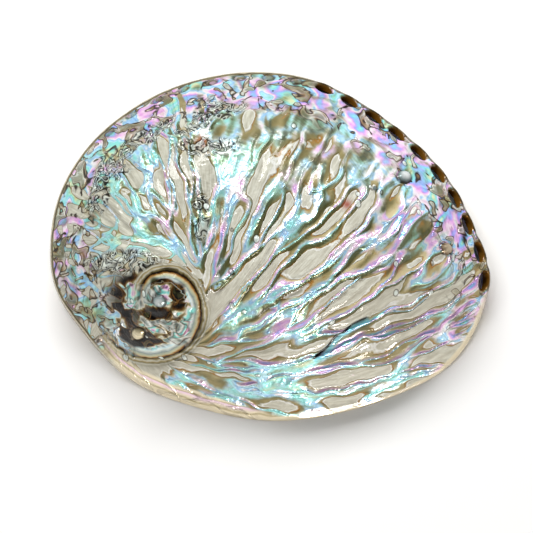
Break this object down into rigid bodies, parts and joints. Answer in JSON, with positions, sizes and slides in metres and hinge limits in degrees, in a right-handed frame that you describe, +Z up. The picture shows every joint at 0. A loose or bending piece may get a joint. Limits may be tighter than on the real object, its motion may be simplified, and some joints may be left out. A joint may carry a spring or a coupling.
{
  "type": "abalone shell",
  "caption": "Polished abalone shell lying on its rim, domed side up, with a low spire, a row of breathing holes and iridescent folds.",
  "frame": {"origin": "middle of the shell's box at the level of the rim that it rests on", "axes": "+X along the shell's length towards the growing end, +Y towards the keel with the breathing holes, +Z up out of the dome"},
  "size_m": [0.1496, 0.1186, 0.044],
  "materials": {
    "nacre": "polished"
  },
  "bodies": {
    "root": {"shell": "nacre"}
  },
  "joints": []
}
